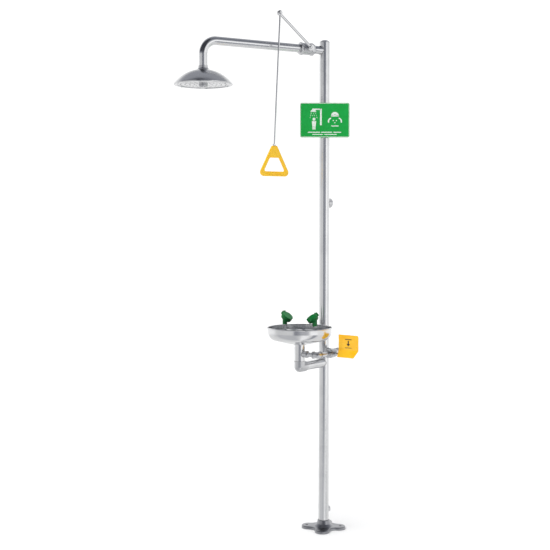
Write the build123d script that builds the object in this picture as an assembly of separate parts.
from build123d import *

import math
import os
from dataclasses import dataclass

# Combination emergency safety shower and eyewash, bolted to the floor.
# Millimetres. The origin is on the column's axis at floor level, +Z is up, the user stands at -Y
# and +X is at the user's right hand. The shower arm leaves the column between -Y and -X.

# Fits shared by every joint between two pieces
FIT = 0.05                 # radial clearance of a spigot, pin or stem in its hole
GAP = 0.3                  # clearance between faces that move past each other

# Column
COLUMN_RADIUS = 24.15
COLUMN_WALL = 2.6
COLUMN_HEIGHT = 2300.0     # floor to the top of the cap
CAP_DOME = 10.0
CAP_BAND = 4.0
CAP_SPIGOT = 16.0
PARTITION_HALF = 11.0      # half the height of the plug between supply and waste
SEAL_DEPTH = 3.0
SEAL_WIDTH = 4.0

# Floor flange
FLANGE_THICKNESS = 14.0
FLANGE_FLOOR = 6.0
FLANGE_REACH = 104.0       # column's axis to the end of a lobe
LOBE_RADIUS = 34.0
LOBE_HOLLOW = 33.0         # radius of the concave side between two lobes
LOBE_TURN = 30.0           # turns the lobes about the column
LOBE_COUNT = 4
BOLT_CIRCLE = 80.0
BOLT_HOLE = 6.5
HUB_HEIGHT = 42.0
HUB_FLARE = 13.0
HUB_LIP = 3.5
SHOULDER_HEIGHT = 24.0     # the casting slopes up to the hub as far as this
SHOULDER_FLARE = 34.0
FLANGE_EDGE = 4.0

# Pipe sockets welded on the back of the column. A pipe screws in as far as the shoulder.
SOCKET_SHOULDER = 1.5
WASTE_Z = 88.0
WASTE_BORE = 12.05
WASTE_WALL = 4.7
WASTE_STAND = 9.85
WASTE_THREAD = 9.0
INLET_Z = 1544.0
INLET_BORE = 19.5
INLET_WALL = 4.0
INLET_STAND = 13.85
INLET_THREAD = 13.0

# Shower arm
ARM_DROP = 49.5            # below the top of the column
ARM_TURN = 24.0            # from -Y towards -X
ARM_REACH = 617.0          # column's axis to the shower head's axis
ARM_RADIUS = 19.05
ARM_WALL = 2.6
ARM_BEND = 62.0
VALVE_REACH = 98.5         # column's axis to the middle of the shower valve

# Shower head
HEAD_RADIUS = 129.0
HEAD_DROP = 197.5          # arm's axis to the underside of the rim
DOME_HEIGHT = 62.0
DOME_WALL = 1.6
RIM_HEIGHT = 7.0
RIM_LEDGE = 2.0
RIM_INSIDE = 6.0
RIM_OVERLAP = 9.0
PLATE_THICKNESS = 2.0
SPRAY_HOLE = 2.2
SPRAY_PITCH = 20.0
SPRAY_RINGS = (2, 3, 4, 5)
HUB_RADIUS = 20.0
HUB_DEPTH = 14.0
HUB_SPIGOT = 6.0
COLLAR_FLARE = 7.0
COLLAR_WALL = 2.5
COLLAR_HEIGHT = 18.0
COLLAR_HOLE = 22.0
COLLAR_SPIGOT = 8.0
COLLAR_FLARE_HEIGHT = 8.0
COLLAR_TAIL = 6.0          # spigot below the dome's hole
HEAD_SCREWS = 6
HEAD_SCREW_RADIUS = 2.0
HEAD_SCREW_CAP = 3.6       # radius of the screw's head
HEAD_SCREW_CAP_HEIGHT = 2.2
HEAD_NUT_FLATS = 6.0
HEAD_NUT_HEIGHT = 2.4

# Shower lever, pull rod and handle
LEVER_RISE = 40.0          # angle above the horizontal at rest
LEVER_LENGTH = 217.0
LEVER_RADIUS = 6.0
LEVER_HUB = 14.0
LEVER_EYE = 11.0
LEVER_EYE_HALF = 4.0
PIN_RADIUS = 3.5
PIN_HEAD = 6.0
PIN_HEAD_HEIGHT = 4.0
PIN_NUT_HEIGHT = 6.0
STEM_NUT_HEIGHT = 6.0
STEM_TAIL = 8.0            # threaded end of a valve stem
THREAD_SHARE = 0.85        # a stem's thread against its square
LEVER_NUT_FLATS = 16.0
FLAG_NUT_FLATS = 13.0
ROD_RADIUS = 4.0
ROD_EYE = 8.0
ROD_SIDE_GAP = 0.5
ROD_LEAN = 2.9             # the rod hangs a little away from the column
ROD_LENGTH = 620.0
HANDLE_TOP = 594.0         # below the pin, along the rod
HANDLE_HEIGHT = 137.0
HANDLE_HALF_TOP = 13.0
HANDLE_HALF_BOTTOM = 82.0
HANDLE_THICKNESS = 13.0
HANDLE_SIDE = 15.0         # width of the side bars
HANDLE_GRIP = 22.0         # height of the bottom bar
HANDLE_WEB = 54.0          # solid part above the opening
HANDLE_CORNER = 18.0
HANDLE_NUT_FLATS = 15.0
HANDLE_NUT_HEIGHT = 6.0
OPENING_CORNER = 6.0

# Sign
SIGN_WIDTH = 230.0
SIGN_HEIGHT = 160.0
SIGN_THICKNESS = 2.0
SIGN_CORNER = 7.0
SIGN_DROP = 373.0          # top of the column to the sign's middle
SIGN_TURN = 38.0           # from -Y towards +X
STRAP_THICKNESS = 2.0
STRAP_HEIGHT = 16.0
STRAP_PITCH = 90.0
STRAP_EAR = 20.0
STRAP_STAND = 3.0          # column's surface to the back of the sign
SIGN_STUD = 2.5
SIGN_STUD_TAIL = 6.0
SIGN_NUT_FLATS = 8.0
SIGN_NUT_HEIGHT = 4.0

# Eyewash bowl and waste
BOWL_RADIUS = 150.0
BOWL_GAP = 17.85           # column's surface to the rim
RIM_Z = 976.0
BOWL_SHEET = 1.5
BOWL_BEAD = 2.8
BOWL_WALL_DEPTH = 52.0     # rim to where the wall would meet the floor of the bowl
BOWL_DEPTH = 76.0
BOWL_FLAT = 50.0           # radius of the flat middle
BOWL_CORNER = 38.0
BOWL_INNER_CORNER = 20.0   # where the flat middle turns up
BOWL_LEAN = 1.5            # the wall leans out this much
BOWL_BEAD_LAP = 0.7        # how far the sheet runs into the rolled rim
DRAIN_HOLE = 22.0
STRAINER_RADIUS = 30.0
STRAINER_SHEET = 2.0
STRAINER_SPIGOT = 12.0
STRAINER_SPIGOT_WALL = 3.0
STRAINER_HOLE = 2.5
STRAINER_HOLES = 8
STRAINER_MARGIN = 7.5      # spigot's surface to the holes' circle
GASKET_THICKNESS = 2.0
STACK_FLANGE = 30.0
STACK_FLANGE_THICKNESS = 3.0
STACK_RADIUS = 24.15
STACK_WALL = 2.6
DRAIN_Z = 793.0
DRAIN_RADIUS = 21.2
DRAIN_WALL = 2.6
ELBOW_RISE = 27.0          # welded end to end with the waste stack
ELBOW_REACH = 38.0
ELBOW_SOCKET = 12.0

# Eyewash supply
SUPPLY_Z = 853.0
SUPPLY_OFFSET = 100.0      # column's axis to the valve's axis, along +X
SUPPLY_RADIUS = 10.65
SUPPLY_WALL = 2.1
FITTING_RADIUS = 14.5
FITTING_BEAD = 16.5
FITTING_LEG = 24.0
FITTING_SOCKET = 13.0
BEAD_WIDTH = 6.0
EYE_VALVE_Y = -83.0
STACK_BOSS = 21.0          # side fitting's reach beyond the waste stack
RISER_RADIUS = 8.0
RISER_WALL = 1.5
RISER_BEND = 13.0
YOKE_Z = 950.0
YOKE_HALF = 85.0
YOKE_RADIUS = 8.6
YOKE_WALL = 2.1
YOKE_BEND = 14.0
TEE_RADIUS = 13.0
TEE_BELOW = 30.0
TEE_ABOVE = 13.0
TEE_SOCKET = 13.0
YOKE_COLLAR = 2.4          # the tee's side arms stand proud of the yoke by this
YOKE_COLLAR_HALF = 22.0

# Eyewash heads
NOZZLE_Z = 1004.0
NOZZLE_TILT = 40.0
NOZZLE_RADIUS = 25.0
NOZZLE_WALL = 2.5
NOZZLE_SOCKET = 11.0
NOZZLE_SOCKET_LENGTH = 20.0
NOZZLE_HEIGHT = 25.0
NOZZLE_CONE = 8.0
NOZZLE_FLOOR = 10.0
NOZZLE_WATERWAY = 5.5
NOZZLE_GRIP = 7.0          # head's centre down to the end of the yoke
SCREEN_THICKNESS = 3.0
SCREEN_DEPTH = 2.0
SCREEN_HOLE = 1.6
SCREEN_PITCH = 6.0
SCREEN_RINGS = (1, 2, 3)
COVER_RADIUS = 26.0
COVER_THICKNESS = 4.0
COVER_PIN = 1.5
KNUCKLE_RADIUS = 3.2
KNUCKLE_HALF = 4.7
EAR_THICKNESS = 4.0
EAR_REACH = 4.5            # cover's edge radius to the hinge pin

# Push flag
FLAG_TAB_X = 51.0          # from the valve's axis along its stem
FLAG_SHEET = 3.0
FLAG_WIDTH = 106.0
FLAG_TOP = 91.0            # above the stem
FLAG_FOLD = 21.0
FLAG_BOTTOM = 11.0         # below the stem
FLAG_SET = 12.0            # front sheet ahead of the stem
FLAG_SLOPE = 12.0
FLAG_TAPER = 20.0
FLAG_CORNER = 9.0
TAB_HALF = 12.0
TAB_TOP = 60.0


@dataclass
class ValveSize:
    """Quarter-turn ball valve. The flow is along X and the stem along +Y."""
    barrel_radius: float
    barrel_half: float
    half_length: float
    flats: float
    pipe_radius: float
    socket_depth: float
    bore_radius: float
    ball_radius: float
    stem_radius: float
    boss_radius: float
    boss_height: float
    packing_radius: float
    packing_depth: float
    gland_flats: float
    gland_height: float
    slot_depth: float
    tang: float
    square: float


SHOWER_VALVE = ValveSize(
    barrel_radius=26.5, barrel_half=19.5, half_length=35.5, flats=50.0,
    pipe_radius=ARM_RADIUS, socket_depth=13.5, bore_radius=12.5, ball_radius=17.5,
    stem_radius=6.0, boss_radius=12.0, boss_height=35.0, packing_radius=9.0, packing_depth=8.0,
    gland_flats=22.0, gland_height=6.0, slot_depth=3.5, tang=5.0, square=8.4)

EYE_VALVE = ValveSize(
    barrel_radius=21.0, barrel_half=16.0, half_length=30.0, flats=36.0,
    pipe_radius=SUPPLY_RADIUS, socket_depth=12.0, bore_radius=7.5, ball_radius=12.0,
    stem_radius=4.5, boss_radius=10.0, boss_height=29.0, packing_radius=7.0, packing_depth=7.0,
    gland_flats=18.0, gland_height=6.0, slot_depth=3.0, tang=4.0, square=6.4)

CAVITY_MARGIN = 1.5        # cavity around the ball
SEAT_LAP = 4.0             # how far a seat reaches along the ball
SEAT_BACKING = 2.75

# Places worked out from the sizes above
ARM_Z = COLUMN_HEIGHT - ARM_DROP
HEAD_RIM_Z = ARM_Z - HEAD_DROP
PARTITION_Z = (DRAIN_Z + DRAIN_RADIUS - DRAIN_WALL + SUPPLY_Z - SUPPLY_RADIUS + SUPPLY_WALL) / 2
BOWL_Y = -(COLUMN_RADIUS + BOWL_GAP + BOWL_RADIUS)
PLATE_RADIUS = HEAD_RADIUS - RIM_INSIDE
LEVER_START = SHOWER_VALVE.boss_height + SHOWER_VALVE.gland_height + GAP
LEVER_END = LEVER_START + 2 * LEVER_RADIUS
LEVER_MIDDLE = (LEVER_START + LEVER_END) / 2
ROD_SIDE = LEVER_MIDDLE + LEVER_EYE_HALF + ROD_SIDE_GAP + ROD_RADIUS

UPRIGHT = (Align.CENTER, Align.CENTER, Align.MIN)
TO_X = Rot(0, 90, 0)       # turns +Z to +X
TO_Y = Rot(-90, 0, 0)      # turns +Z to +Y
ARM_PLACE = Pos(0, 0, ARM_Z) * Rot(0, 0, -90 - ARM_TURN)
VALVE_PLACE = ARM_PLACE * Pos(VALVE_REACH, 0, 0)
EYE_PLACE = Pos(SUPPLY_OFFSET, EYE_VALVE_Y, SUPPLY_Z) * Rot(0, 0, -90)
LEVER_TIP = Pos(LEVER_LENGTH * math.cos(math.radians(LEVER_RISE)), 0,
                LEVER_LENGTH * math.sin(math.radians(LEVER_RISE)))
HANG_PLACE = VALVE_PLACE * LEVER_TIP * Rot(0, -ROD_LEAN, 0)
BOWL_PLACE = Pos(0, BOWL_Y, 0)
SIGN_PLACE = Pos(0, 0, COLUMN_HEIGHT - SIGN_DROP) * Rot(0, 0, SIGN_TURN)


def rod(radius, start, end):
    """A cylinder on the Z axis between two heights."""
    return Pos(0, 0, start) * Cylinder(radius, end - start, align=UPRIGHT)


def ring(outer, inner, start, end):
    return rod(outer, start, end) - rod(inner, start, end)


def cone(bottom, top, start, end):
    return Pos(0, 0, start) * Cone(bottom, top, end - start, align=UPRIGHT)


def block(low, high):
    """A box between two opposite corners."""
    size = [b - a for a, b in zip(low, high)]
    middle = [(a + b) / 2 for a, b in zip(low, high)]
    return Pos(*middle) * Box(*size)


def hexagon(flats, start, end):
    """A hexagonal bar on the Z axis, its corners turned down at both ends."""
    bar = extrude(RegularPolygon(flats / 2, 6, major_radius=False), end - start)
    corner = flats / math.sqrt(3)
    turned = chamfer(Cylinder(corner, end - start).edges().filter_by(GeomType.CIRCLE),
                     (corner - flats / 2) * 0.6)
    return Pos(0, 0, start) * (bar & Pos(0, 0, (end - start) / 2) * turned)


def rounded(shape, radius):
    """Rounds the circular edges at the top and bottom of an upright shape."""
    return fillet(shape.edges().filter_by(GeomType.CIRCLE), radius)


def pipe(path, outer, inner):
    """A pipe along a path of straight runs and tangent arcs."""
    start = Plane(path @ 0, z_dir=path % 0)
    return sweep(start * Circle(outer), path) - sweep(start * Circle(inner), path)


def save(name, shape):
    export_step(shape, f"parts/{name}.step")


def group(shapes):
    """Several separate pieces that share one node."""
    return Compound(children=[solid for shape in shapes for solid in shape.solids()])


# Column and floor flange

def make_base_flange():
    arms = Sketch()
    lobe_end = FLANGE_REACH - LOBE_RADIUS
    for turn in (0, 90):
        arms += Rot(0, 0, turn) * Rectangle(2 * lobe_end, 2 * LOBE_RADIUS)
    corners = arms.vertices().filter_by(
        lambda v: math.hypot(v.X, v.Y) < LOBE_RADIUS * 1.5)
    arms = fillet(corners, LOBE_HOLLOW)
    for lobe in PolarLocations(lobe_end, LOBE_COUNT):
        arms += lobe * Circle(LOBE_RADIUS)
    plate = fillet(extrude(arms, FLANGE_THICKNESS).faces().sort_by(Axis.Z)[-1].edges(),
                   FLANGE_EDGE)
    foot, top = COLUMN_RADIUS + HUB_FLARE, COLUMN_RADIUS + HUB_LIP
    meeting = foot + (top - foot) * SHOULDER_HEIGHT / HUB_HEIGHT
    hub = cone(foot, top, 0, HUB_HEIGHT)
    hub += cone(COLUMN_RADIUS + SHOULDER_FLARE, meeting, 0, SHOULDER_HEIGHT)
    casting = plate + hub - rod(COLUMN_RADIUS + FIT, FLANGE_FLOOR, HUB_HEIGHT)
    for lobe in PolarLocations(BOLT_CIRCLE, LOBE_COUNT):
        casting -= lobe * rod(BOLT_HOLE, 0, FLANGE_THICKNESS)
    return Rot(0, 0, LOBE_TURN) * casting


def column_hole(turn, height, bore):
    """A hole through one side of the column; a turn of 0 is the +X side."""
    return Pos(0, 0, height) * Rot(0, 0, turn) * TO_X * rod(bore, 0, 2 * COLUMN_RADIUS)


def make_lower_column():
    inner = COLUMN_RADIUS - COLUMN_WALL
    pipe_wall = ring(COLUMN_RADIUS, inner, FLANGE_FLOOR, PARTITION_Z)
    return (pipe_wall - column_hole(90, WASTE_Z, WASTE_BORE - SOCKET_SHOULDER)
            - column_hole(-90, DRAIN_Z, DRAIN_RADIUS - DRAIN_WALL))


def make_upper_column():
    inner = COLUMN_RADIUS - COLUMN_WALL
    pipe_wall = ring(COLUMN_RADIUS, inner, PARTITION_Z, COLUMN_HEIGHT - CAP_DOME - CAP_BAND)
    return (pipe_wall - column_hole(0, SUPPLY_Z, SUPPLY_RADIUS - SUPPLY_WALL)
            - column_hole(90, INLET_Z, INLET_BORE - SOCKET_SHOULDER)
            - column_hole(-90 - ARM_TURN, ARM_Z, ARM_RADIUS - ARM_WALL))


def seal_heights():
    for side in (-1, 1):
        middle = PARTITION_Z + side * PARTITION_HALF / 2
        yield middle - SEAL_WIDTH / 2, middle + SEAL_WIDTH / 2


def make_partition():
    inner = COLUMN_RADIUS - COLUMN_WALL
    plug = rod(inner - FIT, PARTITION_Z - PARTITION_HALF, PARTITION_Z + PARTITION_HALF)
    seals = []
    for low, high in seal_heights():
        plug -= ring(inner, inner - SEAL_DEPTH, low, high)
        seals.append(ring(inner - FIT, inner - SEAL_DEPTH + FIT, low, high))
    return plug, group(seals)


def make_top_cap():
    inner = COLUMN_RADIUS - COLUMN_WALL - FIT
    seat = COLUMN_HEIGHT - CAP_DOME - CAP_BAND
    sphere = (COLUMN_RADIUS ** 2 + CAP_DOME ** 2) / (2 * CAP_DOME)
    dome = Pos(0, 0, COLUMN_HEIGHT - sphere) * Sphere(sphere)
    dome = dome & rod(COLUMN_RADIUS, seat, COLUMN_HEIGHT + 1)
    return dome + ring(inner, inner - COLUMN_WALL, seat - CAP_SPIGOT, seat)


def make_column_socket(height, bore, wall, stand, thread):
    """A pipe socket on the back of the column, bored for the pipe down to a shoulder."""
    length = COLUMN_RADIUS + stand
    socket = ring(bore + wall, bore - SOCKET_SHOULDER, 0, length)
    socket = TO_Y * (socket - rod(bore, length - thread, length))
    return Pos(0, 0, height) * (socket - rod(COLUMN_RADIUS + FIT, -2 * bore, 2 * bore))


# Ball valves

def seat_span(size):
    grip = math.sqrt(size.ball_radius ** 2 - size.bore_radius ** 2)
    return grip - SEAT_LAP, grip + SEAT_BACKING


def make_valve_body(size):
    cavity = size.ball_radius + CAVITY_MARGIN
    seat_back = seat_span(size)[1]
    socket_end = size.half_length - size.socket_depth
    barrel = rounded(rod(size.barrel_radius, -size.barrel_half, size.barrel_half), 2.0)
    body = TO_X * (barrel + hexagon(size.flats, -size.half_length, -size.barrel_half))
    body += TO_Y * rod(size.boss_radius, 0, size.boss_height)
    body -= TO_X * rod(size.bore_radius, -size.half_length, 0)
    body -= TO_X * rod(size.pipe_radius + FIT, -size.half_length, -socket_end)
    body -= TO_X * rod(cavity, -seat_back, size.barrel_half)
    body -= TO_Y * rod(size.stem_radius + FIT, 0, size.boss_height)
    body -= TO_Y * rod(size.packing_radius, size.boss_height - size.packing_depth,
                       size.boss_height)
    return body


def make_valve_end_cap(size):
    cavity = size.ball_radius + CAVITY_MARGIN
    socket_end = size.half_length - size.socket_depth
    cap = hexagon(size.flats, size.barrel_half, size.half_length)
    cap += rod(cavity - FIT, seat_span(size)[1], size.barrel_half)
    cap -= rod(size.bore_radius, 0, size.half_length)
    cap -= rod(size.pipe_radius + FIT, socket_end, size.half_length)
    return TO_X * cap


def make_valve_seats(size):
    """Two rings, each hollowed to the ball's curve with a working gap."""
    relief = size.ball_radius + GAP
    outer = size.ball_radius + CAVITY_MARGIN - FIT
    front, back = seat_span(size)
    lip = math.asin(size.bore_radius / relief)
    edge = math.acos(front / relief)
    curve = [(relief * math.sin(turn), 0, relief * math.cos(turn))
             for turn in (edge, (edge + lip) / 2, lip)]
    sides = Polyline(curve[2], (size.bore_radius, 0, back), (outer, 0, back),
                     (outer, 0, front), curve[0])
    seat = TO_X * revolve(make_face(sides + ThreePointArc(*curve)), Axis.Z)
    return group([seat, Rot(0, 0, 180) * seat])


def make_valve_ball(size):
    """The bore stands upright while the valve is closed."""
    reach = size.ball_radius
    slot_floor = size.ball_radius - size.slot_depth
    slot = block((-size.tang / 2, slot_floor, -reach), (size.tang / 2, 2 * reach, reach))
    return Sphere(size.ball_radius) - rod(size.bore_radius, -reach, reach) - slot


def make_valve_stem(size, hub_start, hub_end, end):
    slot_floor = size.ball_radius - size.slot_depth
    shoulder = size.ball_radius + GAP
    shaft = TO_Y * rod(size.stem_radius, slot_floor + FIT, hub_start)
    half = size.tang / 2 - FIT
    for side in (-1, 1):
        waste = block((0, 0, -size.stem_radius), (size.stem_radius, shoulder, size.stem_radius))
        shaft -= Pos(half if side > 0 else -half - size.stem_radius, 0, 0) * waste
    square = size.square / 2
    shaft += block((-square, hub_start, -square), (square, hub_end, square)) & (
        TO_Y * rod(size.stem_radius, hub_start, hub_end))
    return shaft + TO_Y * rod(square * THREAD_SHARE, hub_end, end)


def make_valve_packing(size):
    top = size.boss_height - 1
    return TO_Y * ring(size.packing_radius - FIT, size.stem_radius + FIT,
                       size.boss_height - size.packing_depth, top)


def make_valve_gland(size):
    top = size.boss_height + size.gland_height
    nut = hexagon(size.gland_flats, size.boss_height, top)
    nut += rod(size.packing_radius - FIT, size.boss_height - 1, size.boss_height)
    return TO_Y * (nut - rod(size.stem_radius + FIT, size.boss_height - 1, top))


def square_hole(size, start, end):
    """The square hole that a stem drives, rounded like the stem."""
    square = size.square / 2 + FIT
    return block((-square, start, -square), (square, end, square)) & (
        TO_Y * rod(size.stem_radius + FIT, start, end))


def stem_nut(size, start, flats):
    hole = size.square / 2 * THREAD_SHARE + FIT
    end = start + STEM_NUT_HEIGHT
    return TO_Y * (hexagon(flats, start, end) - rod(hole, start, end))


def save_valve(prefix, size, place):
    save(f"{prefix}_valve_body", place * make_valve_body(size))
    save(f"{prefix}_valve_end_cap", place * make_valve_end_cap(size))
    save(f"{prefix}_valve_seats", place * make_valve_seats(size))
    save(f"{prefix}_valve_gland", place * make_valve_gland(size))
    save(f"{prefix}_ball", place * make_valve_ball(size))


# Shower arm and head

def make_branch_nipple():
    end = VALVE_REACH - SHOWER_VALVE.half_length + SHOWER_VALVE.socket_depth
    nipple = TO_X * ring(ARM_RADIUS, ARM_RADIUS - ARM_WALL, 0, end)
    return ARM_PLACE * (nipple - rod(COLUMN_RADIUS + FIT, -2 * ARM_RADIUS, 2 * ARM_RADIUS))


def dome_sphere():
    """Radius of the shower head's dome and the height of its centre."""
    half = HEAD_RADIUS - DOME_WALL
    radius = (half ** 2 + DOME_HEIGHT ** 2) / (2 * DOME_HEIGHT)
    return radius, HEAD_RIM_Z + RIM_HEIGHT + DOME_HEIGHT - radius


def collar_floor():
    """Height where the collar's flare meets the dome."""
    radius, centre = dome_sphere()
    edge = ARM_RADIUS + COLLAR_WALL + COLLAR_FLARE
    return centre + math.sqrt(radius ** 2 - edge ** 2)


def make_shower_arm():
    start = VALVE_REACH + SHOWER_VALVE.half_length - SHOWER_VALVE.socket_depth
    stop = collar_floor() + COLLAR_SPIGOT - ARM_Z
    path = FilletPolyline((start, 0, 0), (ARM_REACH, 0, 0), (ARM_REACH, 0, stop),
                          radius=ARM_BEND)
    return ARM_PLACE * pipe(path, ARM_RADIUS, ARM_RADIUS - ARM_WALL)


def head_place():
    return ARM_PLACE * Pos(ARM_REACH, 0, -ARM_Z)


def make_head_collar():
    radius, centre = dome_sphere()
    low = collar_floor()
    neck = ARM_RADIUS + COLLAR_WALL
    collar = cone(neck + COLLAR_FLARE, neck, low, low + COLLAR_FLARE_HEIGHT)
    collar += rod(neck, low, low + COLLAR_HEIGHT)
    collar -= Pos(0, 0, centre) * Sphere(radius + FIT)
    collar += rod(COLLAR_HOLE - FIT, low - COLLAR_TAIL, low + COLLAR_SPIGOT)
    collar -= rod(ARM_RADIUS - ARM_WALL, low - COLLAR_TAIL, low + COLLAR_SPIGOT)
    return collar - rod(ARM_RADIUS + FIT, low + COLLAR_SPIGOT, low + COLLAR_HEIGHT)


def make_head_dome():
    radius, centre = dome_sphere()
    shell = Pos(0, 0, centre) * (Sphere(radius) - Sphere(radius - DOME_WALL))
    above = rod(HEAD_RADIUS, HEAD_RIM_Z + RIM_HEIGHT, centre + radius + 1)
    return (shell & above) - rod(COLLAR_HOLE, HEAD_RIM_Z, centre + radius + 1)


def head_screw_places():
    return PolarLocations(PLATE_RADIUS - RIM_OVERLAP / 2, HEAD_SCREWS)


def make_head_rim_ring():
    bottom = HEAD_RIM_Z
    rim = rounded(rod(HEAD_RADIUS, bottom, bottom + RIM_HEIGHT), 2.0)
    rim -= rod(PLATE_RADIUS + FIT, bottom + RIM_LEDGE, bottom + RIM_HEIGHT)
    rim -= rod(PLATE_RADIUS - RIM_OVERLAP, bottom, bottom + RIM_LEDGE)
    for place in head_screw_places():
        rim -= place * rod(HEAD_SCREW_RADIUS + FIT, bottom, bottom + RIM_LEDGE)
    return rim


def make_head_face_plate():
    plate = Circle(PLATE_RADIUS) - Circle(HUB_SPIGOT + FIT)
    for number in SPRAY_RINGS:
        plate -= PolarLocations(number * SPRAY_PITCH, number * 6) * Circle(SPRAY_HOLE)
    plate -= head_screw_places() * Circle(HEAD_SCREW_RADIUS + FIT)
    return Pos(0, 0, HEAD_RIM_Z + RIM_LEDGE) * extrude(plate, PLATE_THICKNESS)


def make_head_hub():
    """The boss in the middle of the spray plate, held by its own spigot."""
    plate = HEAD_RIM_Z + RIM_LEDGE
    boss = rod(HUB_RADIUS, plate - HUB_DEPTH, plate)
    boss = fillet(boss.edges().filter_by(GeomType.CIRCLE).sort_by(Axis.Z)[0], HUB_DEPTH * 0.6)
    return boss + rod(HUB_SPIGOT, plate, plate + 3 * PLATE_THICKNESS)


def make_head_screws():
    bottom = HEAD_RIM_Z
    plate_top = bottom + RIM_LEDGE + PLATE_THICKNESS
    nut_top = plate_top + HEAD_NUT_HEIGHT
    head = rod(HEAD_SCREW_CAP, bottom - HEAD_SCREW_CAP_HEIGHT, bottom)
    head = fillet(head.edges().filter_by(GeomType.CIRCLE).sort_by(Axis.Z)[0],
                  HEAD_SCREW_CAP_HEIGHT * 0.55)
    screw = head + rod(HEAD_SCREW_RADIUS, bottom, nut_top + 0.6)
    nut = hexagon(HEAD_NUT_FLATS, plate_top, nut_top) - rod(HEAD_SCREW_RADIUS + FIT, bottom,
                                                            nut_top)
    return [place * piece for place in head_screw_places() for piece in (screw, nut)]


# Shower lever, pull rod and handle

def make_shower_lever():
    arm = TO_Y * rounded(rod(LEVER_HUB, LEVER_START, LEVER_END), 1.5)
    arm += Pos(0, LEVER_MIDDLE, 0) * TO_X * rod(LEVER_RADIUS, LEVER_HUB / 2, LEVER_LENGTH)
    eye_low = LEVER_MIDDLE - LEVER_EYE_HALF
    eye_high = LEVER_MIDDLE + LEVER_EYE_HALF
    outside = ring(2 * LEVER_EYE, LEVER_EYE, eye_low - LEVER_RADIUS, eye_high + LEVER_RADIUS)
    tip = Pos(LEVER_LENGTH, 0, 0)
    cheeks = TO_Y * (ring(LEVER_EYE + 1, 0.5, eye_high, eye_high + LEVER_RADIUS)
                     + ring(LEVER_EYE + 1, 0.5, eye_low - LEVER_RADIUS, eye_low)
                     + rod(1, eye_high, eye_high + LEVER_RADIUS)
                     + rod(1, eye_low - LEVER_RADIUS, eye_low))
    beyond = tip * block((0, eye_low - LEVER_RADIUS, -2 * LEVER_EYE),
                         (2 * LEVER_EYE, eye_high + LEVER_RADIUS, 2 * LEVER_EYE))
    arm = arm - tip * cheeks - (beyond & tip * (TO_Y * outside))
    arm += tip * (TO_Y * rounded(rod(LEVER_EYE, eye_low, eye_high), 1.0))
    arm -= tip * (TO_Y * rod(PIN_RADIUS + FIT, eye_low, eye_high))
    lever = Rot(0, -LEVER_RISE, 0) * arm
    return lever - square_hole(SHOWER_VALVE, LEVER_START, LEVER_END)


def make_lever_pin():
    low = LEVER_MIDDLE - LEVER_EYE_HALF
    nut = ROD_SIDE + ROD_RADIUS + ROD_SIDE_GAP
    nut_end = nut + PIN_NUT_HEIGHT
    head = rounded(rod(PIN_HEAD, low - PIN_HEAD_HEIGHT, low), 1.0)
    pin = head + rod(PIN_RADIUS, low, nut_end + 1)
    cap = hexagon(2 * PIN_HEAD, nut, nut_end) - rod(PIN_RADIUS + FIT, nut, nut_end)
    return group([VALVE_PLACE * LEVER_TIP * (TO_Y * piece) for piece in (pin, cap)])


def make_pull_rod():
    eye = Rot(90, 0, 0) * Torus(ROD_EYE, ROD_RADIUS)
    shank = rod(ROD_RADIUS, -ROD_LENGTH, -ROD_EYE)
    return HANG_PLACE * Pos(0, ROD_SIDE, 0) * (eye + shank)


def make_pull_handle():
    """A rounded triangle with a trapezium opening. It hangs level from the leaning rod."""
    outline = Polyline((-HANDLE_HALF_TOP, 0), (HANDLE_HALF_TOP, 0),
                       (HANDLE_HALF_BOTTOM, -HANDLE_HEIGHT),
                       (-HANDLE_HALF_BOTTOM, -HANDLE_HEIGHT), close=True)
    shape = make_face(outline)
    shape = fillet(shape.vertices().group_by(Axis.Y)[0], HANDLE_CORNER)
    shape = fillet(shape.vertices().filter_by(lambda v: v.Y > -1), HANDLE_HALF_TOP * 0.7)
    slope = (HANDLE_HALF_BOTTOM - HANDLE_HALF_TOP) / HANDLE_HEIGHT
    hole_top, hole_bottom = HANDLE_WEB, HANDLE_HEIGHT - HANDLE_GRIP
    half_top = HANDLE_HALF_TOP + slope * hole_top - HANDLE_SIDE * math.hypot(1, slope)
    half_bottom = HANDLE_HALF_TOP + slope * hole_bottom - HANDLE_SIDE * math.hypot(1, slope)
    opening = make_face(Polyline(
        (-half_top, -hole_top), (half_top, -hole_top),
        (half_bottom, -hole_bottom), (-half_bottom, -hole_bottom), close=True))
    opening = fillet(opening.vertices(), OPENING_CORNER)
    plate = extrude(shape - opening, HANDLE_THICKNESS / 2, both=True)
    plate = fillet(plate.faces().sort_by(Axis.Z)[-1].edges(), HANDLE_THICKNESS * 0.3)
    plate = fillet(plate.faces().sort_by(Axis.Z)[0].edges(), HANDLE_THICKNESS * 0.3)
    hole = rod(ROD_RADIUS + FIT, HANDLE_TOP - ROD_LENGTH - FIT, HANDLE_THICKNESS)
    handle = Rot(90, 0, 0) * plate - Rot(0, -ROD_LEAN, 0) * hole
    return HANG_PLACE * Pos(0, ROD_SIDE, -HANDLE_TOP) * Rot(0, ROD_LEAN, 0) * handle


def make_handle_nut():
    low = -HANDLE_TOP + HANDLE_NUT_FLATS * math.sin(math.radians(ROD_LEAN))
    high = low + HANDLE_NUT_HEIGHT
    nut = hexagon(HANDLE_NUT_FLATS, low, high) - rod(ROD_RADIUS + FIT, low, high)
    return HANG_PLACE * Pos(0, ROD_SIDE, 0) * nut


# Sign

def sign_stud_places():
    ear = COLUMN_RADIUS + FIT + STRAP_THICKNESS + STRAP_EAR / 2
    for x in (-ear, ear):
        for z in (-STRAP_PITCH / 2, STRAP_PITCH / 2):
            yield Pos(x, 0, z)


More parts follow.
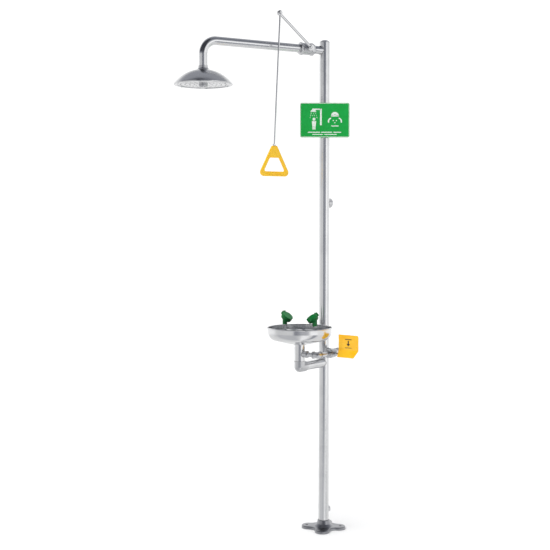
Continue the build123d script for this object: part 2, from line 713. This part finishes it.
def make_sign_plate():
    back = -COLUMN_RADIUS - STRAP_STAND
    outline = RectangleRounded(SIGN_WIDTH, SIGN_HEIGHT, SIGN_CORNER)
    return SIGN_PLACE * Pos(0, back, 0) * Rot(90, 0, 0) * extrude(outline, SIGN_THICKNESS)


def make_sign_clamps():
    """Two straps around the back of the column, with an ear each side of it."""
    inner = COLUMN_RADIUS + FIT
    outer = inner + STRAP_THICKNESS
    back = -COLUMN_RADIUS - STRAP_STAND
    half = STRAP_HEIGHT / 2
    strap = ring(outer, inner, -half, half) & block((-outer, 0, -half), (outer, outer, half))
    for side in (-1, 1):
        low, high = sorted((side * inner, side * outer))
        strap += block((low, back, -half), (high, 0, half))
        low, high = sorted((side * inner, side * (outer + STRAP_EAR)))
        strap += block((low, back, -half), (high, back + STRAP_THICKNESS, half))
    pieces = []
    for z in (-STRAP_PITCH / 2, STRAP_PITCH / 2):
        piece = Pos(0, 0, z) * strap
        for place in sign_stud_places():
            piece -= place * (TO_Y * rod(SIGN_STUD + FIT, back, back + STRAP_THICKNESS))
        pieces.append(SIGN_PLACE * piece)
    return group(pieces)


def make_sign_fasteners():
    """Studs welded on the back of the sign, each with a nut behind the strap's ear."""
    back = -COLUMN_RADIUS - STRAP_STAND
    ear = back + STRAP_THICKNESS
    nut_end = ear + SIGN_NUT_HEIGHT
    stud = rod(SIGN_STUD, back, ear + SIGN_STUD_TAIL)
    nut = hexagon(SIGN_NUT_FLATS, ear, nut_end) - rod(SIGN_STUD + FIT, ear, nut_end)
    return group([SIGN_PLACE * place * (TO_Y * piece)
                  for place in sign_stud_places() for piece in (stud, nut)])


# Eyewash bowl, waste and supply

def bowl_blank(inset, top):
    """The bowl as a solid; an inset of one sheet gives its hollow."""
    rim = BOWL_RADIUS - BOWL_BEAD - BOWL_BEAD_LAP - inset
    wall_foot = rim - BOWL_LEAN
    floor = RIM_Z - BOWL_DEPTH + inset
    path = FilletPolyline((0, 0, floor), (BOWL_FLAT, 0, floor),
                          (wall_foot, 0, RIM_Z - BOWL_WALL_DEPTH + inset), (rim, 0, top),
                          radius=(BOWL_INNER_CORNER, BOWL_CORNER - inset))
    closing = Polyline((rim, 0, top), (0, 0, top), (0, 0, floor))
    return revolve(make_face(path + closing), Axis.Z)


def make_bowl():
    bead_z = RIM_Z - BOWL_BEAD
    shell = bowl_blank(0, bead_z) - bowl_blank(BOWL_SHEET, bead_z)
    shell += Pos(0, 0, bead_z) * Torus(BOWL_RADIUS - BOWL_BEAD, BOWL_BEAD)
    floor = RIM_Z - BOWL_DEPTH
    return BOWL_PLACE * (shell - rod(DRAIN_HOLE, floor, floor + BOWL_SHEET))


def make_bowl_gasket():
    floor = RIM_Z - BOWL_DEPTH
    return BOWL_PLACE * ring(STACK_FLANGE - 2, DRAIN_HOLE, floor - GASKET_THICKNESS, floor)


def make_bowl_strainer():
    floor = RIM_Z - BOWL_DEPTH + BOWL_SHEET
    spigot = STACK_RADIUS - STACK_WALL - FIT
    bottom = floor - STRAINER_SPIGOT
    strainer = rod(STRAINER_RADIUS, floor, floor + STRAINER_SHEET)
    strainer += ring(spigot, spigot - STRAINER_SPIGOT_WALL, bottom, floor)
    for place in PolarLocations(spigot - STRAINER_MARGIN, STRAINER_HOLES):
        strainer -= place * rod(STRAINER_HOLE, floor, floor + STRAINER_SHEET)
    return BOWL_PLACE * (strainer - rod(RISER_RADIUS + FIT, floor, floor + STRAINER_SHEET))


def make_waste_stack():
    top = RIM_Z - BOWL_DEPTH - GASKET_THICKNESS
    foot = DRAIN_Z + ELBOW_RISE
    stack = rod(STACK_RADIUS, foot, top) + rod(STACK_FLANGE, top - STACK_FLANGE_THICKNESS, top)
    stack -= rod(STACK_RADIUS - STACK_WALL, foot, top)
    side = Pos(0, 0, SUPPLY_Z) * (TO_X * rod(RISER_RADIUS + FIT, 0, 2 * STACK_RADIUS))
    return BOWL_PLACE * (stack - side)


def make_waste_elbow():
    """A square-cornered elbow: butt-welded above, with a socket towards the column."""
    inner = DRAIN_RADIUS - DRAIN_WALL
    across = Rot(-90, 0, 0)
    elbow = (Sphere(STACK_RADIUS) + rod(STACK_RADIUS, 0, ELBOW_RISE)
             + across * rod(STACK_RADIUS, 0, ELBOW_REACH))
    elbow -= Sphere(inner) + rod(inner, 0, ELBOW_RISE) + across * rod(inner, 0, ELBOW_REACH)
    elbow -= across * rod(DRAIN_RADIUS + FIT, ELBOW_REACH - ELBOW_SOCKET, ELBOW_REACH)
    return BOWL_PLACE * Pos(0, 0, DRAIN_Z) * elbow


def make_drain_pipe():
    start = -BOWL_Y - ELBOW_REACH + ELBOW_SOCKET
    tube = Rot(90, 0, 0) * ring(DRAIN_RADIUS, DRAIN_RADIUS - DRAIN_WALL, 0, start)
    return Pos(0, 0, DRAIN_Z) * (tube - rod(COLUMN_RADIUS + FIT, -2 * DRAIN_RADIUS,
                                            2 * DRAIN_RADIUS))


def make_stack_fitting():
    end = STACK_RADIUS + STACK_BOSS
    fitting = rod(FITTING_RADIUS, 0, end) + rod(FITTING_BEAD, end - BEAD_WIDTH, end)
    fitting -= rod(RISER_RADIUS + FIT, 0, end)
    fitting -= rod(SUPPLY_RADIUS + FIT, end - FITTING_SOCKET, end)
    fitting = TO_X * fitting - rod(STACK_RADIUS + FIT, -2 * FITTING_BEAD, 2 * FITTING_BEAD)
    return BOWL_PLACE * Pos(0, 0, SUPPLY_Z) * fitting


def make_supply_elbow(first, second):
    """A screwed elbow, its two legs turned from +X by the given angles."""
    legs = []
    for turn in (first, second):
        leg = rod(FITTING_RADIUS, 0, FITTING_LEG)
        leg += rod(FITTING_BEAD, FITTING_LEG - BEAD_WIDTH, FITTING_LEG)
        legs.append(Rot(0, 0, turn) * TO_X * leg)
    elbow = Sphere(FITTING_RADIUS) + legs[0] + legs[1] - Sphere(SUPPLY_RADIUS - SUPPLY_WALL)
    for turn in (first, second):
        hole = rod(SUPPLY_RADIUS - SUPPLY_WALL, 0, FITTING_LEG)
        hole += rod(SUPPLY_RADIUS + FIT, FITTING_LEG - FITTING_SOCKET, FITTING_LEG)
        elbow -= Rot(0, 0, turn) * TO_X * hole
    return elbow


def supply_tube(start, end):
    return ring(SUPPLY_RADIUS, SUPPLY_RADIUS - SUPPLY_WALL, start, end)


def make_supply_branch():
    end = SUPPLY_OFFSET - FITTING_LEG + FITTING_SOCKET
    branch = TO_X * supply_tube(0, end)
    return Pos(0, 0, SUPPLY_Z) * (branch - rod(COLUMN_RADIUS + FIT, -2 * SUPPLY_RADIUS,
                                               2 * SUPPLY_RADIUS))


def make_valve_nipples():
    """The pipes from the back elbow to the valve and from the valve to the front elbow."""
    into_elbow = FITTING_LEG - FITTING_SOCKET
    valve_end = EYE_VALVE.half_length - EYE_VALVE.socket_depth
    back = supply_tube(into_elbow, -EYE_VALVE_Y - valve_end)
    front = supply_tube(-EYE_VALVE_Y + valve_end, -BOWL_Y - into_elbow)
    place = Pos(SUPPLY_OFFSET, 0, SUPPLY_Z) * Rot(90, 0, 0)
    return group([place * back, place * front])


def make_crossing_pipe():
    start = STACK_RADIUS + STACK_BOSS - FITTING_SOCKET
    end = SUPPLY_OFFSET - FITTING_LEG + FITTING_SOCKET
    return BOWL_PLACE * Pos(0, 0, SUPPLY_Z) * (TO_X * supply_tube(start, end))


def tee_floor():
    return YOKE_Z - TEE_BELOW


def make_supply_riser():
    start = STACK_RADIUS + STACK_BOSS - FITTING_SOCKET
    path = FilletPolyline((start, 0, SUPPLY_Z), (0, 0, SUPPLY_Z), (0, 0, tee_floor() + TEE_SOCKET),
                          radius=RISER_BEND)
    return BOWL_PLACE * pipe(path, RISER_RADIUS, RISER_RADIUS - RISER_WALL)


def make_eyewash_yoke():
    tip = NOZZLE_Z - NOZZLE_GRIP
    path = FilletPolyline((-YOKE_HALF, 0, tip), (-YOKE_HALF, 0, YOKE_Z), (YOKE_HALF, 0, YOKE_Z),
                          (YOKE_HALF, 0, tip), radius=YOKE_BEND)
    start = Plane(path @ 0, z_dir=path % 0)
    inner = YOKE_RADIUS - YOKE_WALL
    yoke = sweep(start * Circle(YOKE_RADIUS), path)
    yoke += rounded(rod(TEE_RADIUS, tee_floor(), YOKE_Z + TEE_ABOVE), 2.0)
    yoke += Pos(0, 0, YOKE_Z) * (TO_X * rod(YOKE_RADIUS + YOKE_COLLAR, -YOKE_COLLAR_HALF,
                                            YOKE_COLLAR_HALF))
    yoke -= sweep(start * Circle(inner), path)
    yoke -= rod(RISER_RADIUS + FIT, tee_floor(), tee_floor() + TEE_SOCKET)
    return BOWL_PLACE * (yoke - rod(inner, tee_floor(), YOKE_Z))


# Eyewash heads. Each is drawn with its axis on Z and its hinge towards -X, then tilted.

def nozzle_place(side):
    """A side of -1 is the user's left; the right head is turned half round."""
    turn = Rot(0, 0, 0) if side < 0 else Rot(0, 0, 180)
    return Pos(side * YOKE_HALF, BOWL_Y, NOZZLE_Z) * turn * Rot(0, NOZZLE_TILT, 0)


def hinge_point():
    """Distance of the hinge pin from the head's axis, and its height on that axis."""
    return COVER_RADIUS + EAR_REACH - 1, NOZZLE_HEIGHT + GAP + COVER_THICKNESS / 2


def make_nozzle_body(side):
    reach, height = hinge_point()
    cup = cone(NOZZLE_SOCKET, NOZZLE_RADIUS, 0, NOZZLE_CONE)
    cup += rod(NOZZLE_RADIUS, NOZZLE_CONE, NOZZLE_HEIGHT)
    for y in (-1, 1):
        low, high = sorted((y * (KNUCKLE_HALF + GAP), y * (KNUCKLE_HALF + GAP + EAR_THICKNESS)))
        leg = block((-reach - KNUCKLE_RADIUS, low, NOZZLE_CONE + 4),
                    (-reach + 3 - GAP, high, height))
        bridge = block((-reach - KNUCKLE_RADIUS, low, NOZZLE_CONE + 4),
                       (-NOZZLE_RADIUS + 4, high, NOZZLE_HEIGHT - GAP))
        eye = Pos(-reach, 0, height) * (TO_Y * rod(KNUCKLE_RADIUS, low, high))
        cup += leg + bridge + eye
    swing = Pos(-reach, 0, height) * Rot(90, 0, 0) * Cylinder(KNUCKLE_RADIUS + GAP,
                                                              2 * KNUCKLE_HALF + 2 * GAP)
    cup -= swing
    cup -= Pos(-reach, 0, height) * (TO_Y * rod(COVER_PIN + FIT, -12, 12))
    cup -= rod(NOZZLE_RADIUS - NOZZLE_WALL, NOZZLE_FLOOR, NOZZLE_HEIGHT)
    upright = Rot(0, -NOZZLE_TILT, 0)
    cup += Sphere(NOZZLE_SOCKET) - rod(NOZZLE_RADIUS, NOZZLE_FLOOR, NOZZLE_HEIGHT)
    cup += upright * rod(NOZZLE_SOCKET, -NOZZLE_SOCKET_LENGTH, 0)
    cup -= rod(NOZZLE_WATERWAY, 0, NOZZLE_HEIGHT) + Sphere(NOZZLE_WATERWAY)
    cup -= upright * rod(NOZZLE_WATERWAY, -NOZZLE_SOCKET_LENGTH, 0)
    cup -= upright * rod(YOKE_RADIUS + FIT, -NOZZLE_SOCKET_LENGTH, -NOZZLE_GRIP)
    return nozzle_place(side) * cup


def make_nozzle_screen(side):
    top = NOZZLE_HEIGHT - SCREEN_DEPTH
    disc = Circle(NOZZLE_RADIUS - NOZZLE_WALL - FIT)
    for number in SCREEN_RINGS:
        disc -= PolarLocations(number * SCREEN_PITCH, number * 6) * Circle(SCREEN_HOLE)
    screen = Pos(0, 0, top - SCREEN_THICKNESS) * extrude(disc, SCREEN_THICKNESS)
    return nozzle_place(side) * screen


def make_cover_pin(side):
    reach, height = hinge_point()
    half = KNUCKLE_HALF + GAP + EAR_THICKNESS
    pin = TO_Y * rod(COVER_PIN, -half, half)
    return nozzle_place(side) * Pos(-reach, 0, height) * pin


def make_dust_cover(side):
    reach, height = hinge_point()
    bottom = NOZZLE_HEIGHT + GAP
    lid = rod(COVER_RADIUS, bottom, bottom + COVER_THICKNESS)
    lid = fillet(lid.edges().filter_by(GeomType.CIRCLE).sort_by(Axis.Z)[-1],
                 COVER_THICKNESS * 0.6)
    lid += block((-reach, -KNUCKLE_HALF, bottom), (-COVER_RADIUS * 0.7, KNUCKLE_HALF,
                                                   bottom + COVER_THICKNESS * 0.8))
    lid += Pos(-reach, 0, height) * (TO_Y * rod(KNUCKLE_RADIUS, -KNUCKLE_HALF, KNUCKLE_HALF))
    lid -= Pos(-reach, 0, height) * (TO_Y * rod(COVER_PIN + FIT, -KNUCKLE_HALF, KNUCKLE_HALF))
    return nozzle_place(side) * lid


# Push flag

def make_push_flag():
    """One folded sheet on the valve's stem. X runs along the stem and Z is up."""
    front = -FLAG_SET - FLAG_SHEET
    right = FLAG_TAB_X + FLAG_WIDTH
    sheet = make_face(Polyline(
        (0, front, FLAG_TOP), (0, front, FLAG_FOLD), (0, front - FLAG_SLOPE, -FLAG_BOTTOM),
        (0, front - FLAG_SLOPE + FLAG_SHEET, -FLAG_BOTTOM - 1.1), (0, -FLAG_SET, FLAG_FOLD - 0.6),
        (0, -FLAG_SET, FLAG_TOP), close=True))
    panel = Pos(FLAG_TAB_X, 0, 0) * extrude(sheet, FLAG_WIDTH, dir=(1, 0, 0))
    face = make_face(Polyline(
        (FLAG_TAB_X, 0, FLAG_TOP), (right, 0, FLAG_TOP), (right, 0, FLAG_FOLD),
        (right - FLAG_TAPER, 0, -FLAG_BOTTOM - 2), (FLAG_TAB_X, 0, -FLAG_BOTTOM - 2), close=True))
    face = fillet(face.vertices().filter_by(lambda v: v.X > right - 1 and v.Z > FLAG_FOLD + 1),
                  FLAG_CORNER)
    panel = panel & extrude(face, 2 * (FLAG_SET + FLAG_SLOPE + FLAG_SHEET), both=True)
    tab = block((FLAG_TAB_X, front, -TAB_HALF), (FLAG_TAB_X + FLAG_SHEET, TAB_HALF, TAB_TOP))
    slant = make_face(Polyline(
        (FLAG_TAB_X, front, -TAB_HALF), (FLAG_TAB_X, TAB_HALF, -TAB_HALF),
        (FLAG_TAB_X, TAB_HALF, TAB_HALF), (FLAG_TAB_X, front, TAB_TOP), close=True))
    tab = tab & extrude(slant, FLAG_SHEET, dir=(1, 0, 0))
    flag = Pos(SUPPLY_OFFSET, EYE_VALVE_Y, SUPPLY_Z) * (panel + tab)
    return flag - EYE_PLACE * square_hole(EYE_VALVE, FLAG_TAB_X, FLAG_TAB_X + FLAG_SHEET)


def save_column():
    plug, seals = make_partition()
    save("base_flange", make_base_flange())
    save("lower_column", make_lower_column())
    save("upper_column", make_upper_column())
    save("partition_plug", plug)
    save("partition_seals", seals)
    save("top_cap", make_top_cap())
    save("waste_socket", make_column_socket(WASTE_Z, WASTE_BORE, WASTE_WALL, WASTE_STAND,
                                            WASTE_THREAD))
    save("inlet_socket", make_column_socket(INLET_Z, INLET_BORE, INLET_WALL, INLET_STAND,
                                            INLET_THREAD))
    save("sign_plate", make_sign_plate())
    save("sign_clamps", make_sign_clamps())
    save("sign_fasteners", make_sign_fasteners())


def save_shower():
    save("branch_nipple", make_branch_nipple())
    save_valve("shower", SHOWER_VALVE, VALVE_PLACE)
    save("shower_arm", make_shower_arm())
    place = head_place()
    save("head_collar", place * make_head_collar())
    save("head_dome", place * make_head_dome())
    save("head_rim_ring", place * make_head_rim_ring())
    save("head_face_plate", place * make_head_face_plate())
    save("head_hub", place * make_head_hub())
    save("head_screws", group([place * piece for piece in make_head_screws()]))
    stem_end = LEVER_END + STEM_TAIL
    save("shower_stem", VALVE_PLACE * make_valve_stem(SHOWER_VALVE, LEVER_START, LEVER_END,
                                                      stem_end))
    save("lever_nut", VALVE_PLACE * stem_nut(SHOWER_VALVE, LEVER_END, LEVER_NUT_FLATS))
    save("shower_lever", VALVE_PLACE * make_shower_lever())
    save("lever_pin", make_lever_pin())
    save("pull_rod", make_pull_rod())
    save("pull_handle", make_pull_handle())
    save("handle_nut", make_handle_nut())


def save_eyewash():
    save("bowl", make_bowl())
    save("bowl_gasket", make_bowl_gasket())
    save("bowl_strainer", make_bowl_strainer())
    save("waste_stack", make_waste_stack())
    save("waste_elbow", make_waste_elbow())
    save("drain_pipe", make_drain_pipe())
    save("stack_fitting", make_stack_fitting())
    save("supply_riser", make_supply_riser())
    save("eyewash_yoke", make_eyewash_yoke())
    save("supply_branch", make_supply_branch())
    save("back_elbow", Pos(SUPPLY_OFFSET, 0, SUPPLY_Z) * make_supply_elbow(180, -90))
    save("front_elbow", Pos(SUPPLY_OFFSET, BOWL_Y, SUPPLY_Z) * make_supply_elbow(180, 90))
    save("valve_nipples", make_valve_nipples())
    save("crossing_pipe", make_crossing_pipe())
    save_valve("eyewash", EYE_VALVE, EYE_PLACE)
    save("valve_packings", group([VALVE_PLACE * make_valve_packing(SHOWER_VALVE),
                                  EYE_PLACE * make_valve_packing(EYE_VALVE)]))
    flag_end = FLAG_TAB_X + FLAG_SHEET
    save("eyewash_stem", EYE_PLACE * make_valve_stem(EYE_VALVE, FLAG_TAB_X, flag_end,
                                                     flag_end + STEM_TAIL))
    save("flag_nut", EYE_PLACE * stem_nut(EYE_VALVE, flag_end, FLAG_NUT_FLATS))
    save("push_flag", make_push_flag())
    for name, side in (("left", -1), ("right", 1)):
        save(f"nozzle_body_{name}", make_nozzle_body(side))
        save(f"dust_cover_{name}", make_dust_cover(side))
    save("nozzle_screens", group([make_nozzle_screen(side) for side in (-1, 1)]))
    save("cover_pins", group([make_cover_pin(side) for side in (-1, 1)]))


os.makedirs("parts", exist_ok=True)
save_column()
save_shower()
save_eyewash()
